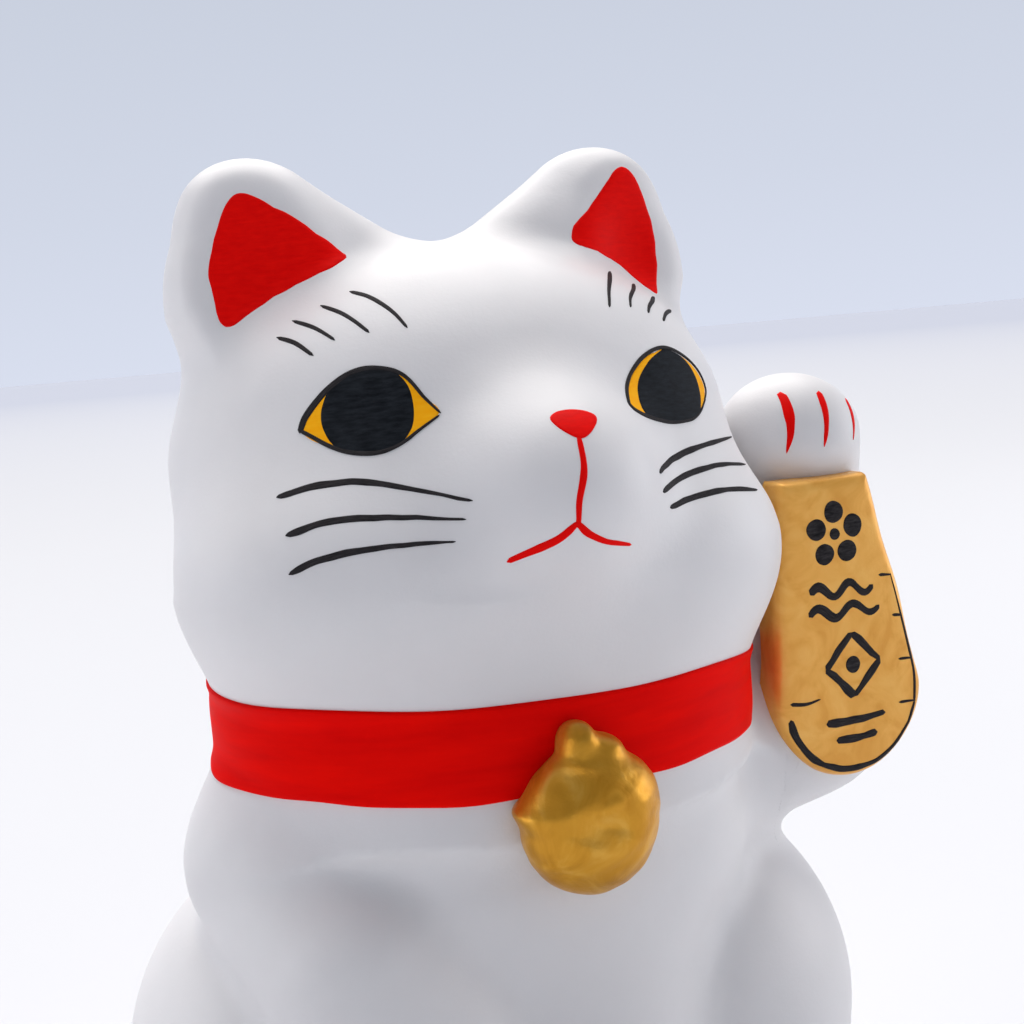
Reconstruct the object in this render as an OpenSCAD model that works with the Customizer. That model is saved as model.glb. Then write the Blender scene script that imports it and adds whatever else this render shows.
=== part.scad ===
// Beckoning cat figurine: a hollow matt white ceramic cat that sits with its left paw raised,
// with a collar, a bell, a gold plaque and a coin bank's slot and stopper.
// Units are millimetres. The cat faces -Y, +X is its left side, and z = 0 is the table.
// The soft forms are blends of ellipsoids and tapered limbs, written as distance functions:
// a form is negative inside, zero on the surface and grows with the distance outside.

/* [Head] */
// Height of the middle of the head above the table
head_z = 99; // [97:0.5:101]
// Forward lean of the head from the middle of the base
head_forward = 4; // [3:0.5:5]
// Upward tilt of the face, in degrees
face_tilt = 6; // [3:1:9]
// Width of the skull above the cheeks
skull_w = 70.4; // [66:0.2:74]
// Width of each cheek
cheek_w = 48.6; // [46:0.2:51]
// Forward reach of the muzzle from the middle of the head
muzzle_reach = 33.5; // [32:0.5:35]
// Distance between the two ear tips, centre to centre
ear_span = 46.8; // [45:0.2:49]

/* [Body] */
// Width of the chest
chest_w = 68; // [64:0.5:70]
// Outer width of the haunches
haunch_w = 98; // [94:0.5:100]
// Wall thickness of the castings
wall = 4.2; // [3.5:0.1:5]
// Thickness of the floor in the base
floor_t = 5; // [4:0.1:6]

/* [Raised arm] */
// Sideways distance of the raised forearm from the middle
forearm_x = 46.5; // [45.5:0.5:48]
// Height of the middle of the raised paw
paw_z = 98.5; // [97:0.5:100]
// Width of the raised paw
paw_w = 19; // [17:0.2:20]

/* [Collar and bell] */
// Height of the underside of the collar
collar_z = 65.3; // [64.5:0.1:66]
// Height of the collar band
collar_h = 11.2; // [10:0.1:12]
// Outer width of the collar
collar_w = 69; // [68:0.5:70]
// Outer depth of the collar, front to back
collar_d = 56; // [55:0.5:57]
// Thickness of the collar band
collar_t = 5; // [4.5:0.1:5.5]
// Diameter of the bell
bell_d = 16.6; // [15:0.1:17.5]

/* [Plaque] */
// Length of the gold plaque
plaque_l = 39.6; // [37:0.1:41]
// Width of the plaque at its round foot
plaque_w = 22.2; // [20:0.2:23]
// Width of the plaque at its straight top
plaque_top_w = 13; // [11:0.2:14]
// Thickness of the plaque
plaque_t = 4.6; // [3.5:0.1:5.5]

/* [Coin bank] */
// Length of the coin slot in the back
slot_l = 32; // [29:0.5:34]
// Height of the coin slot
slot_h = 4.6; // [4.4:0.1:5]
// Diameter of the hole in the base
hole_d = 30; // [28:0.5:31]
// Running clearance of the stopper in its hole, on the radius
stopper_gap = 0.05; // [0.02:0.01:0.1]

/* [Facets] */
// Facets round each soft form
around = 60; // [40:4:68]
// Rows of facets from the foot to the top of each soft form
rows = 40; // [24:2:44]

/* [Hidden] */
round_fn = 96;
far = 90;

// Head
head_at = [0, -head_forward, head_z];
skull_r = [skull_w / 2, 29, 25.5];
cheek_r = [cheek_w / 2, 22.5, 17.2];
right_cheek_at = [-13.3, -4, -9.6];
left_cheek_at = [11.9, -4, -12.2];
muzzle_r = [15, 12.5, 12];
ear_tip = [ear_span / 2, 2.5, 31.7];
ear_shift = [0.5, 0, 0];

// Body
chest_r = [chest_w / 2, 26, 26];
haunch_r = [26.4, 28.5, 27];
haunch_x = haunch_w / 2 - haunch_r.x;
right_haunch_in = 1.2;
waist_z = 22;
waist_stretch = 0.45;

// Middle of the figure's outline seen from above, under which the origin lies
middle = [5.5, 0.85];

// Arm
arm_y = -2;
shoulder = [28.5, arm_y, 55];
elbow = [forearm_x - 1.5, arm_y, 61];
shoulder_r = 11;
forearm_r = 12;
wrist_r = 9;
wrist_z = 92;
socket_gap = 0.15;

// Collar, bell and the neck that they hang on
collar_y = -3;
neck_z = 71;
neck_w = collar_w - 2 * collar_t;
neck_d = collar_d - 2 * collar_t;
neck_h = 14;
neck_wall = 3.4;
collar_proud = 0.9;
bell_at = [-1, -33, 63.6];
bell_thick = 12;
bell_back_y = -27.6;
ledge_h = 2.7;

// Plaque
plaque_seat_y = -10.8;
plaque_foot_z = 54;
plaque_shift = -0.5;
plaque_lean = -2.2;

// Tail
tail_at = [4, 34, 15];
tail_r = 8.5;
tail_seat_y = 31;
tail_seat_r = 9.5;

// Coin bank
slot_z = 56;
recess_h = 2.2;
recess_d = 44;
flange_d = 36;
flange_t = 1.7;
lip_h = 2.4;
grip_w = 3;

white = [0.93, 0.93, 0.94];
red = [0.79, 0.09, 0.04];
gold = [0.75, 0.54, 0.17];

// ---- Distance functions ----

function clamp(v) = min(max(v, 0), 1);

// The two sides of the figure
sides = [-1, 1];

// v divided by w, term by term
function ratio(v, w) = [v.x / w.x, v.y / w.y, v.z / w.z];

// Ellipsoid with middle c and half sizes r
function blob(p, c, r) =
    let (q = ratio(p - c, r), k = norm(q), g = norm(ratio(q, r)))
    g < 0.0001 ? -min(r) : k * (k - 1) / g;

// Limb from a to b whose radius runs from ra to rb
function limb(p, a, b, ra, rb) =
    let (ab = b - a, t = clamp((p - a) * ab / (ab * ab)))
    norm(p - a - ab * t) - ra - (rb - ra) * t;

// Union of two forms with a fillet of size k
function join(a, b, k) =
    let (h = clamp(0.5 + 0.5 * (b - a) / k))
    b + (a - b) * h - k * h * (1 - h);

// Form a with form b carved out of it
function carve(a, b, k) = -join(-a, b, k);

// p seen from the head's own axes
function to_head(p) =
    let (q = p - head_at, c = cos(face_tilt), s = sin(face_tilt))
    [q.x, c * q.y - s * q.z, s * q.y + c * q.z];

// The mirror image of side s moved to the +X side
function fold(p, s) = [s * p.x, p.y, p.z];

function ear(q) =
    let (
        base = limb(q, [17, 4, 12], [21.8, 3, 24], 15, 11),
        top = limb(q, [21.8, 3, 24], ear_tip, 10.7, 7.5),
        inner = limb(q, [6, 4, 20.2], [21.4, 3, 32], 8, 6.6),
        hollow = blob(q, [27, -18, 27], [16, 14.5, 19])
    )
    carve(join(join(base, top, 3), inner, 3), hollow, 3);

// Upright oval neck that runs through both castings, with the collar let into it
function neck(p) =
    let (q = [2 * p.x / collar_w, 2 * (p.y - collar_y) / collar_d])
    max((norm(q) - 1) * collar_d / 2 + collar_proud, abs(p.z - neck_z) - neck_h / 2);

head_form = function (p)
    let (
        q = to_head(p),
        skull = blob(q, [0, 5, 3], skull_r),
        right_side = join(skull, blob(q, right_cheek_at, cheek_r), 6),
        cheeks = join(right_side, blob(q, left_cheek_at, cheek_r), 6),
        muzzle = blob(q, [0, muzzle_r.y - muzzle_reach, -4], muzzle_r),
        face = join(cheeks, muzzle, 8),
        right_ear = ear(fold(q + ear_shift, -1)),
        left_ear = ear(fold(q + ear_shift, 1))
    )
    join(join(join(face, left_ear, 5), right_ear, 5), neck(p), 4);

// Below the waist the body is drawn out towards the table, so that it stands on a broad base
function grounded(p) =
    p.z > waist_z ? p : [p.x, p.y, waist_z + (p.z - waist_z) * waist_stretch];

torso_form = function (p)
    let (
        g = grounded(p),
        chest = blob(g, [0, 0, 52], chest_r),
        right_haunch = blob(g, [right_haunch_in - haunch_x, 3, 28], haunch_r),
        left_haunch = blob(g, [haunch_x, 3, 25.5], haunch_r),
        rump = blob(g, [0, 8, 30], [30, 24.5, 28]),
        belly = blob(g, [0, -10, 36], [21, 20, 30]),
        trunk = join(join(join(chest, rump, 6), join(right_haunch, left_haunch, 6), 8), belly, 6),
        foreleg = limb(p, [-27, -4, 56], [-12, -27, 10], 12.5, 9.5),
        feet = min([for (s = sides) blob(p, [s * 27, -25, 4], [11, 13, 10])]),
        paw = blob(p, [-10, -28, 4], [10, 13, 10]),
        lap = blob(p, [9, -18, 4], [18, 15, 14]),
        low = join(join(feet, paw, 2), lap, 4)
    )
    join(join(join(trunk, foreleg, 4), low, 6), neck(p), 6);

arm_form = function (p)
    let (
        upper = limb(p, shoulder, elbow, shoulder_r, forearm_r),
        fore = limb(p, elbow + [1, 1, 1], [forearm_x + 0.5, arm_y, wrist_z], forearm_r, wrist_r),
        paw = blob(p, [forearm_x - 1, arm_y - 2, paw_z], [paw_w / 2, paw_w / 2, 8.5])
    )
    join(join(upper, fore, 5), paw, 3);

// ---- Skins ----

// Distance from c along u at which form meets level, found by steps from outside
function reach(form, level, c, u, r = far, steps = 60) =
    let (d = form(c + r * u) - level)
    steps == 0 || abs(d) < 0.01 || r < 1 ? r : reach(form, level, c, u, r - 0.9 * d, steps - 1);

// Triangles between rings of n points each, rings first to last
function mantle(n, rings) = [
    for (j = [0 : rings - 2], i = [0 : n - 1])
        let (
            low = j * n,
            high = low + n,
            k = (i + 1) % n
        )
        each [[low + i, high + i, low + k], [low + k, high + i, high + k]]
];

// Closed solid with the surface of a form at a level, seen from its middle c. The rays
// spread as on an ellipsoid of half sizes spread, so that long forms keep even facets.
module ball_skin(form, c, spread, level, n, m) {
    rays = [
        for (j = [1 : m - 1], i = [0 : n - 1])
            let (
                a = 360 * i / n,
                t = 180 * j / m - 90,
                v = [spread.x * cos(t) * cos(a), spread.y * cos(t) * sin(a), spread.z * sin(t)]
            )
            v / norm(v),
        [0, 0, -1],
        [0, 0, 1]
    ];
    foot = (m - 1) * n;
    top = foot + 1;
    polyhedron(
        [for (u = rays) c + u * reach(form, level, c, u)],
        concat(
            mantle(n, m - 1),
            [for (i = [0 : n - 1]) [foot, i, (i + 1) % n]],
            [for (i = [0 : n - 1]) [top, foot - n + (i + 1) % n, foot - n + i]]
        )
    );
}

// Closed solid with the surface of a form at a level, between the planes z0 and z1, seen
// from an upright line through c. The rings lie closer together near the foot.
module turned_skin(form, c, z0, z1, level, n, m) {
    levels = [for (j = [0 : m]) z0 + (z1 - z0) * (0.7 * j / m + 0.3 * pow(j / m, 2))];
    points = [
        for (z = levels, i = [0 : n - 1])
            let (
                u = [cos(360 * i / n), sin(360 * i / n), 0],
                at = [c.x, c.y, z]
            )
            at + u * reach(form, level, at, u)
    ];
    polyhedron(
        points,
        concat(
            mantle(n, m + 1),
            [[for (i = [0 : n - 1]) i]],
            [[for (i = [n - 1 : -1 : 0]) m * n + i]]
        )
    );
}

// Upright solid with an oval plan of size w by d, from z0 to z1, round the neck's middle
module oval(w, d, z0, z1) {
    translate([0, collar_y, z0])
        scale([1, d / w, 1])
            cylinder(d = w, h = z1 - z0, $fn = round_fn);
}

// Everything below a level plane
module below(z) {
    translate([-far, -far, z - far]) cube([2 * far, 2 * far, far]);
}

// Space that the collar takes up
module collar_space() {
    difference() {
        oval(collar_w, collar_d, collar_z, collar_z + collar_h);
        oval(neck_w, neck_d, collar_z - 1, collar_z + collar_h + 1);
    }
}

// Open way between the two castings, through the neck
module neck_way(z0, z1) {
    oval(neck_w - 2 * neck_wall, neck_d - 2 * neck_wall, z0, z1);
}

// Outside of the raised arm, grown all round by a gap
module arm_skin(gap) {
    ball_skin(arm_form, [forearm_x - 2, arm_y, 72], [14, 12, 34], gap, 36, 32);
}

// Everything on the arm's side of the face that it is joined by
module arm_side() {
    translate([shoulder.x, -far, 0]) cube([far, 2 * far, 2 * far]);
}

// Seat of the tail, a flat spot on the rump
module tail_seat() {
    translate([tail_at.x, tail_seat_y, tail_at.z])
        rotate([-90, 0, 0])
            cylinder(r = tail_seat_r, h = 10, $fn = round_fn);
}

// Moves a piece so that the origin is under the middle of the whole outline
module placed() {
    translate([-middle.x, -middle.y, 0]) children();
}

// ---- Pieces ----

module torso_shell() {
    floor_z = recess_h + floor_t;
    color(white)
    placed()
    difference() {
        turned_skin(torso_form, [0, -2], 0, neck_z, 0, around, rows);
        difference() {
            turned_skin(torso_form, [0, -1], floor_z, neck_z - 9, -wall, 40, 24);
            translate([shoulder.x - wall, -far, shoulder.z - 16]) cube([far, 2 * far, far]);
            translate([-far, tail_seat_y - wall, 0]) cube([2 * far, far, far]);
        }
        intersection() {
            arm_skin(socket_gap);
            arm_side();
        }
        tail_seat();
        collar_space();
        neck_way(neck_z - 12, neck_z + 1);
        translate([0, 0, -1]) cylinder(d = recess_d, h = recess_h + 1, $fn = round_fn);
        translate([0, 0, -1]) cylinder(d = hole_d, h = floor_z + 2, $fn = round_fn);
        coin_slot();
    }
}

// Slot through the upper back, with round ends
module coin_slot() {
    for (s = sides)
        translate([s * (slot_l - slot_h) / 2, 12, slot_z])
            rotate([-90, 0, 0])
                cylinder(d = slot_h, h = 20, $fn = 32);
    translate([-(slot_l - slot_h) / 2, 12, slot_z - slot_h / 2])
        cube([slot_l - slot_h, 20, slot_h]);
}

module head_shell() {
    color(white)
    placed()
    difference() {
        ball_skin(head_form, head_at + [0, 3, 2], [36, 31, 36], 0, around + 4, rows + 4);
        below(neck_z);
        collar_space();
        difference() {
            ball_skin(head_form, head_at + [0, 3, 0], [34, 29, 28], -wall, 40, 24);
            below(neck_z + 9);
        }
        neck_way(neck_z - 1, neck_z + 14);
    }
}

module raised_arm() {
    color(white)
    placed()
    difference() {
        intersection() {
            arm_skin(0);
            arm_side();
        }
        oval(collar_w, collar_d, collar_z, collar_z + collar_h);
        translate([forearm_x - 20, plaque_seat_y - 20, plaque_foot_z - 6])
            cube([40, 20, plaque_l + 6]);
    }
}

// Round bob tail, turned about the axis that it stands out along, and flat on the rump
module tail() {
    depth = tail_at.y - tail_seat_y;
    foot_angle = -asin(depth / tail_r);
    arc = [for (t = [0 : 16]) let (a = foot_angle + (90 - foot_angle) * t / 16)
        tail_r * [cos(a), sin(a)]];
    color(white)
    placed()
    translate(tail_at)
        rotate([-90, 0, 0])
            rotate_extrude($fn = round_fn)
                polygon(concat([[0, -depth]], arc));
}

module collar_band() {
    color(red)
    placed()
    collar_space();
}

// Round bell with its hanging loop, flat where it lies against the chest and hollowed for
// the collar and the ledge of the neck below it
module bell() {
    color(gold)
    placed()
    difference() {
        union() {
            translate(bell_at) scale([bell_d, bell_thick, bell_d]) sphere(d = 1, $fn = 64);
            translate(bell_at + [0, 0.4, bell_d / 2 - 1])
                cylinder(d1 = 8, d2 = 5.6, h = 3.4, $fn = 48);
        }
        oval(collar_w, collar_d, collar_z - ledge_h, collar_z + collar_h);
        translate([-far, bell_back_y, 0]) cube([2 * far, far, 2 * far]);
    }
}

// Long plaque with a straight top and a round foot, drawn out to the front. It narrows and
// leans towards the head as it rises.
module plaque_plan(inset) {
    foot_r = plaque_w / 2;
    top_z = plaque_l - foot_r;
    shares = [for (i = [0 : 8]) i / 8];
    function half(t) = foot_r + (plaque_top_w / 2 - foot_r) * pow(t, 1.25);
    polygon(concat(
        [for (a = [180 : 6 : 354]) (foot_r - inset) * [cos(a), sin(a)]],
        [for (t = shares) [plaque_lean * t + half(t) - inset, (top_z - inset) * t]],
        [for (t = shares) let (u = 1 - t) if (u > 0)
            [plaque_lean * u - half(u) + inset, (top_z - inset) * u]]
    ));
}

module plaque() {
    bevel = 1.2;
    color(gold)
    placed()
    translate([forearm_x + plaque_shift, plaque_seat_y, plaque_foot_z + plaque_w / 2])
        rotate([90, 0, 0]) {
            linear_extrude(plaque_t - bevel) plaque_plan(0);
            translate([0, 0, plaque_t - bevel]) linear_extrude(bevel) plaque_plan(bevel);
        }
}

// Soft plug with a flange below, a shallow cup above and a grip bar under the flange
module base_stopper() {
    plug_d = hole_d - 2 * stopper_gap;
    plug_h = floor_t + 1;
    color([0.86, 0.86, 0.84])
    placed()
    difference() {
        union() {
            translate([0, 0, recess_h - flange_t]) cylinder(d = flange_d, h = flange_t, $fn = round_fn);
            translate([0, 0, recess_h - 0.01]) cylinder(d = plug_d, h = plug_h, $fn = round_fn);
        }
        translate([0, 0, recess_h + lip_h]) cylinder(d = plug_d - 5, h = plug_h, $fn = round_fn);
        for (s = sides)
            translate([s * (grip_w / 2 + 4), 0, 0]) cylinder(d = 5, h = recess_h, $fn = 32);
    }
}

torso_shell();
head_shell();
raised_arm();
tail();
collar_band();
bell();
plaque();
base_stopper();
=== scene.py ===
"""Beckoning cat figurine: the looks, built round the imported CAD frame.

Soft forms are distance functions: negative inside, zero on the surface, in millimetres.
They are meshed, settled onto their zero surface and then painted with thin raised strokes.
The cat faces -Y, and +X is its left side, which raises the paw.
"""

import math

import bpy
import numpy as np
from mathutils import Matrix, Vector


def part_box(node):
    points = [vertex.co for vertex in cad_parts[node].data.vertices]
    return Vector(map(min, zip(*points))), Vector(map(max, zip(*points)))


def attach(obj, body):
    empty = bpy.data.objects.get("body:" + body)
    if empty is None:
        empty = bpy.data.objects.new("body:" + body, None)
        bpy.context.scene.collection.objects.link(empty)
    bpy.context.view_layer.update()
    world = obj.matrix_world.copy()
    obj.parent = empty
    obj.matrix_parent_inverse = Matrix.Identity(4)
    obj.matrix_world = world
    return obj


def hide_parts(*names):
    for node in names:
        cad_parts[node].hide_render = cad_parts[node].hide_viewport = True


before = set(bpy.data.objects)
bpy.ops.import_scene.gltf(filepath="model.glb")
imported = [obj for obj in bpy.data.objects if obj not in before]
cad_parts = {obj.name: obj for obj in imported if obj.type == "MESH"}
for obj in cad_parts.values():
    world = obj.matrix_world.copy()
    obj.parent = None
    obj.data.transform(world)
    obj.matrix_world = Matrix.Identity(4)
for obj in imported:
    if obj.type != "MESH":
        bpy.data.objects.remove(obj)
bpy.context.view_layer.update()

MM = 0.001


# ---------------------------------------------------------------- places from the frame

def box_mm(node):
    """Lowest and highest corner of a CAD node, in millimetres."""
    low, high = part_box(node)
    return np.array(low) / MM, np.array(high) / MM


COLLAR_LOW, COLLAR_HIGH = box_mm("collar_band")
PLAQUE_LOW, PLAQUE_HIGH = box_mm("plaque")
BELL_LOW, BELL_HIGH = box_mm("bell")
NECK_Z = box_mm("torso_shell")[1][2]

# The neck stands 3 mm in front of the middle of the base, and the collar is round the neck
COLLAR_Y = -3.0
AXIS = np.array([
    (COLLAR_LOW[0] + COLLAR_HIGH[0]) / 2,
    (COLLAR_LOW[1] + COLLAR_HIGH[1]) / 2 - COLLAR_Y,
    0.0,
])
COLLAR_HALF = (COLLAR_HIGH - COLLAR_LOW) / 2


def vec(*numbers):
    return np.array(numbers, float)


# ---------------------------------------------------------------- distance functions

def blob(p, middle, half):
    """Ellipsoid."""
    q = p - vec(*middle)
    half = vec(*half)
    near = np.linalg.norm(q / half, axis=-1)
    slope = np.linalg.norm(q / half**2, axis=-1) + 1e-9
    return near * (near - 1) / slope


def limb(p, start, end, start_r, end_r):
    """Rod with round ends whose radius runs from start_r to end_r."""
    start = vec(*start)
    along = vec(*end) - start
    t = np.clip((p - start) @ along / (along @ along), 0, 1)
    return np.linalg.norm(p - start - t[:, None] * along, axis=-1) - start_r - (end_r - start_r) * t


def join(a, b, fillet):
    """Union with a fillet."""
    h = np.clip(0.5 + 0.5 * (b - a) / fillet, 0, 1)
    return b + (a - b) * h - fillet * h * (1 - h)


def common(a, b, fillet):
    """Intersection with a rounded edge."""
    return -join(-a, -b, fillet)


def fold(p, side):
    """The +X side's picture of the points of one side."""
    return p * vec(side, 1, 1)


HEAD_AT = vec(0, -4, 99)
CHEEKS = ((-13.3, -4, -9.6), (11.9, -4, -12.2))
EAR_SHIFT = vec(0.5, 0, 0)
NECK_SINK = 0.9
NECK_MIDDLE_Z = 73.5
NECK_HALF = 11.5
FACE_TILT = math.radians(6)
HEAD_TURN = np.array([
    [1, 0, 0],
    [0, math.cos(FACE_TILT), -math.sin(FACE_TILT)],
    [0, math.sin(FACE_TILT), math.cos(FACE_TILT)],
])


def to_head(p):
    """Points seen from the head's own axes."""
    return (p - HEAD_AT) @ HEAD_TURN.T


def from_head(q):
    return q @ HEAD_TURN + HEAD_AT


def ear(q):
    base = limb(q, (17, 4, 12), (21.8, 3, 24), 15, 11)
    top = limb(q, (21.8, 3, 24), (23.4, 2.5, 31.7), 10.7, 7.5)
    inner = limb(q, (5.6, 4, 20.8), (20.2, 3, 31.2), 8, 7.2)
    hollow = blob(q, (27, -18, 27), (16, 14.5, 19))
    return common(join(join(base, top, 3), inner, 3), -hollow, 3)


def neck(p):
    """Oval column that the collar lies round, nearly flush with it."""
    oval = np.hypot(p[:, 0] / COLLAR_HALF[0], (p[:, 1] - COLLAR_Y) / COLLAR_HALF[1])
    wall = (oval - 1) * COLLAR_HALF[1] + NECK_SINK
    return np.maximum(wall, abs(p[:, 2] - NECK_MIDDLE_Z) - NECK_HALF)


def head_form(p):
    q = to_head(p)
    face = blob(q, (0, 5, 3), (35.2, 29, 25.5))
    for cheek_at in CHEEKS:
        face = join(face, blob(q, cheek_at, (24.3, 22.5, 17.2)), 6)
    face = join(face, blob(q, (0.3, -20.7, -3.6), (12.4, 13, 11.8)), 6)
    for side in (-1, 1):
        face = join(face, ear(fold(q + EAR_SHIFT, side)), 3)
    return join(face, neck(p), 6)


WAIST_Z = 22.0
WAIST_STRETCH = 0.45


def grounded(p):
    """Below the waist the body is drawn out towards the table."""
    g = p.copy()
    low = g[:, 2] < WAIST_Z
    g[low, 2] = WAIST_Z + (g[low, 2] - WAIST_Z) * WAIST_STRETCH
    return g


def foreleg(p):
    """Right foreleg, from the shoulder to the paw on the table."""
    upper = limb(p, (-27, -4, 56), (-22, -15.5, 47), 12.5, 13)
    middle = limb(p, (-22, -15.5, 47), (-15.5, -20.5, 34), 13, 12)
    lower = limb(p, (-15.5, -20.5, 34), (-11, -28, 8), 12, 9.5)
    return np.minimum(np.minimum(upper, middle), lower)


def torso_form(p):
    g = grounded(p)
    haunches = join(blob(g, (-21.4, 3, 28), (26.4, 28.5, 27)),
                    blob(g, (22.6, 3, 25.5), (26.4, 28.5, 27)), 6)
    chest = join(blob(g, (0, 0, 52), (34, 26, 26)), blob(g, (0, -9, 54), (27, 21, 20)), 6)
    trunk = join(chest, blob(g, (0, 8, 30), (30, 24.5, 28)), 6)
    trunk = join(join(trunk, haunches, 3.5), blob(g, (0, -10, 36), (21, 20, 30)), 4)
    trunk = join(trunk, foreleg(p), 2.5)
    feet = np.minimum(blob(p, (27, -25, 4), (11, 13, 10)), blob(p, (-27, -25, 4), (11, 13, 10)))
    low = join(join(feet, blob(p, (-10, -28, 4), (10, 13, 10)), 2), blob(p, (9, -18, 4), (18, 15, 14)), 4)
    return join(join(trunk, low, 6), neck(p), 6)


FOREARM_X = 46.5
ARM_Y = -2.0
SHOULDER = vec(28.5, ARM_Y, 55)
ELBOW = vec(FOREARM_X - 1.5, ARM_Y, 61)


def arm_form(p):
    upper = limb(p, SHOULDER, ELBOW, 11, 12)
    fore = limb(p, ELBOW + 1, (FOREARM_X + 0.5, ARM_Y, 92), 12, 9)
    paw = blob(p, (FOREARM_X - 1, ARM_Y - 2, 98.5), (9.5, 9.5, 8.5))
    return join(join(upper, fore, 5), paw, 3)


def body_form(p):
    """Torso and raised arm with the clay smoothed over their joint."""
    return join(torso_form(p), arm_form(p), 5)


# ---------------------------------------------------------------- meshing

def nets(form, low, high, step):
    """Points and quads near the zero surface of a form, one point per crossed cell."""
    low = vec(*low)
    count = np.ceil((vec(*high) - low) / step).astype(int) + 1
    axes = [low[i] + step * np.arange(count[i]) for i in range(3)]
    grid = np.stack(np.meshgrid(*axes, indexing="ij"), -1).reshape(-1, 3)
    parts = max(1, len(grid) // 200000)
    value = np.concatenate([form(part) for part in np.array_split(grid, parts)]).reshape(count)
    inside = value < 0
    corners = [(i, j, k) for i in (0, 1) for j in (0, 1) for k in (0, 1)]

    def corner(field, offset):
        return field[tuple(slice(o, count[i] - 1 + o) for i, o in enumerate(offset))]

    full = sum(corner(inside, offset).astype(int) for offset in corners)
    crossed = (full > 0) & (full < 8)
    cells = np.argwhere(crossed)
    number = -np.ones(crossed.shape, int)
    number[crossed] = np.arange(len(cells))
    total = np.zeros((len(cells), 3))
    hits = np.zeros(len(cells))
    for axis in range(3):
        for offset in corners:
            if offset[axis]:
                continue
            far_offset = tuple(1 if i == axis else o for i, o in enumerate(offset))
            near = corner(value, offset)[crossed]
            far = corner(value, far_offset)[crossed]
            cuts = (near < 0) != (far < 0)
            place = np.tile(vec(*offset), (len(cells), 1))
            place[:, axis] = np.where(cuts, near / np.where(cuts, near - far, 1), 0)
            total += place * cuts[:, None]
            hits += cuts
    points = low + step * (cells + total / hits[:, None])
    quads = []
    for axis in range(3):
        b, c = (axis + 1) % 3, (axis + 2) % 3
        first = tuple(slice(0, count[i] - 1) if i == axis else slice(1, count[i] - 1) for i in range(3))
        second = tuple(slice(1, count[i]) if i == axis else slice(1, count[i] - 1) for i in range(3))
        changes = inside[first] != inside[second]
        leaving = inside[first][changes]
        base = np.argwhere(changes)
        base[:, b] += 1
        base[:, c] += 1
        ring = []
        for step_b, step_c in ((0, 0), (1, 0), (1, 1), (0, 1)):
            k = base.copy()
            k[:, b] -= step_b
            k[:, c] -= step_c
            ring.append(number[k[:, 0], k[:, 1], k[:, 2]])
        ring = np.stack(ring, 1)
        ring[~leaving] = ring[~leaving][:, ::-1]
        quads.append(ring)
    return points, np.concatenate(quads)


def slope(form, p, reach=0.02):
    """Gradient of a form."""
    shifts = reach * np.eye(3)
    return np.stack([form(p + s) - form(p - s) for s in shifts], 1) / (2 * reach)


def settle(form, p, rounds=3):
    """Points moved onto the zero surface of a form, each by at most a millimetre a round."""
    for _ in range(rounds):
        g = slope(form, p)
        move = form(p) / np.maximum((g * g).sum(1), 0.05)
        p = p - np.clip(move, -1, 1)[:, None] * g
    return p


def add_mesh(name, points, faces):
    """Object with a smooth mesh, its points given in the figure's millimetres."""
    mesh = bpy.data.meshes.new(name)
    world = (np.asarray(points) + AXIS) * MM
    mesh.from_pydata(world.tolist(), [], [list(map(int, face)) for face in faces])
    mesh.validate()
    mesh.shade_smooth()
    piece = bpy.data.objects.new(name, mesh)
    bpy.context.scene.collection.objects.link(piece)
    return piece


def mesh_points(piece):
    co = np.zeros(len(piece.data.vertices) * 3)
    piece.data.vertices.foreach_get("co", co)
    return co.reshape(-1, 3)


def subdivide(piece, levels=1):
    """Subdivision surface, applied."""
    smoother = piece.modifiers.new("finer", "SUBSURF")
    smoother.levels = levels
    settled = piece.evaluated_get(bpy.context.evaluated_depsgraph_get())
    fine = bpy.data.meshes.new_from_object(settled)
    piece.modifiers.clear()
    coarse = piece.data
    piece.data = fine
    bpy.data.meshes.remove(coarse)
    fine.shade_smooth()


def add_form(name, form, low, high, step, levels=1):
    """Object with the fine mesh of a form inside a box."""
    points, quads = nets(form, low, high, step)
    piece = add_mesh(name, settle(form, points), quads)
    subdivide(piece, levels)
    fine = settle(form, mesh_points(piece) / MM - AXIS, 2)
    piece.data.vertices.foreach_set("co", ((fine + AXIS) * MM).ravel())
    piece.data.update()
    return piece


# ---------------------------------------------------------------- castings

WALL = 4.2
FLOOR_Z = 7.2
RECESS_R = 22.0
RECESS_Z = 2.2
HOLE_R = 15.0
SLOT_LENGTH = 32.0
SLOT_HEIGHT = 4.6
SLOT_Z = 56.0
SEAM_X = 37.0
SEAM_LAP = 1.5


def torso_shell_form(p):
    """Torso up to the arm's seam, with its chamber, recess, stopper hole and coin slot."""
    skin = common(body_form(p), -p[:, 2], 1.5)
    skin = np.maximum(skin, np.where(p[:, 2] < 45, -9, p[:, 0] - SEAM_X - SEAM_LAP))
    inside = np.maximum(torso_form(p) + WALL, FLOOR_Z - p[:, 2])
    out = np.hypot(p[:, 0], p[:, 1])
    recess = np.maximum(out - RECESS_R, p[:, 2] - RECESS_Z)
    hole = np.maximum(out - HOLE_R, p[:, 2] - FLOOR_Z - 2)
    ends = np.maximum(abs(p[:, 0]) - (SLOT_LENGTH - SLOT_HEIGHT) / 2, 0)
    slot = np.maximum(np.hypot(ends, p[:, 2] - SLOT_Z) - SLOT_HEIGHT / 2, 10 - p[:, 1])
    shell = common(skin, -inside, 1)
    shell = common(common(shell, -recess, 0.8), -hole, 0.6)
    shell = common(shell, -slot, 1.2)
    return np.maximum(shell, p[:, 2] - NECK_Z)


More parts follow.
